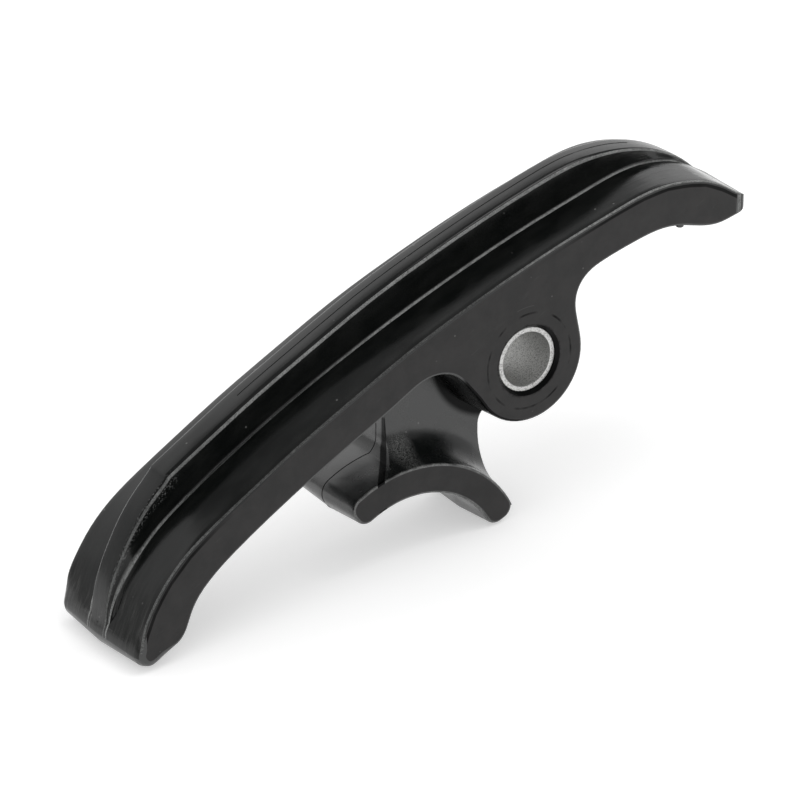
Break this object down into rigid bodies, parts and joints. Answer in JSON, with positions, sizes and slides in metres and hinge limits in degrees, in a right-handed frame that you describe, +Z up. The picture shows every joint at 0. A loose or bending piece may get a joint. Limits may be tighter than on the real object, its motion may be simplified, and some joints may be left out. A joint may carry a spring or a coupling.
{
  "type": "chain slider",
  "caption": "Moulded chain slider with a raised guide rib, a steel-bushed bolt boss and a curved saddle that seats on the frame tube.",
  "frame": {"origin": "centre of the bush's bore, half-way across the width", "axes": "+Z up as the part stands, +X along it towards the nose, +Y along the bush, into the part from the side that the picture shows"},
  "size_m": [0.1118, 0.0216, 0.0507],
  "materials": {
    "moulding": "satin black moulding, smooth running face, finely textured sides",
    "steel": "bright zinc-plated steel tube"
  },
  "bodies": {
    "root": {"slider_body": "moulding", "bush": "steel"}
  },
  "joints": []
}
